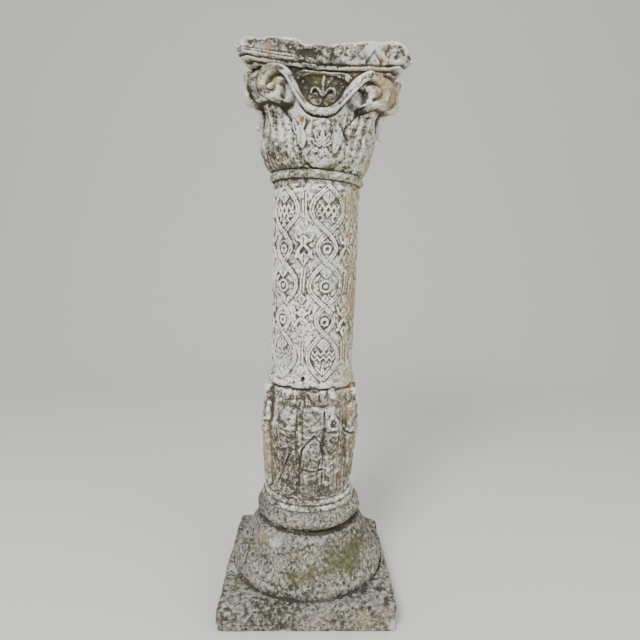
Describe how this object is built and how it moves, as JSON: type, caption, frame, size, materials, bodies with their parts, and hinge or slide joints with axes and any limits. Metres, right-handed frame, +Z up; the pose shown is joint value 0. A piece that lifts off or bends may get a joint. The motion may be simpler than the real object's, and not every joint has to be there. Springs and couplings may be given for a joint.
{
  "type": "column pedestal",
  "caption": "weathered carved stone column on a square plinth, with a drum of robed figures, interlaced knotwork on the shaft and a broken volute capital with a flat top",
  "frame": {"origin": "middle of the plinth's underside", "axes": "+Z up, -Y towards the carved front that the picture shows, +X to the right of it; the shaft and the capital lean towards +X"},
  "size_m": [0.35, 0.35, 1.0889],
  "materials": {
    "base_stone": "rough, weathered, with algae and lichen",
    "shaft_stone": "rough, weathered and pitted",
    "capital_stone": "rough, weathered, with algae in the hollows"
  },
  "bodies": {
    "root": {"base": "base_stone", "shaft": "shaft_stone", "capital": "capital_stone"}
  },
  "joints": []
}
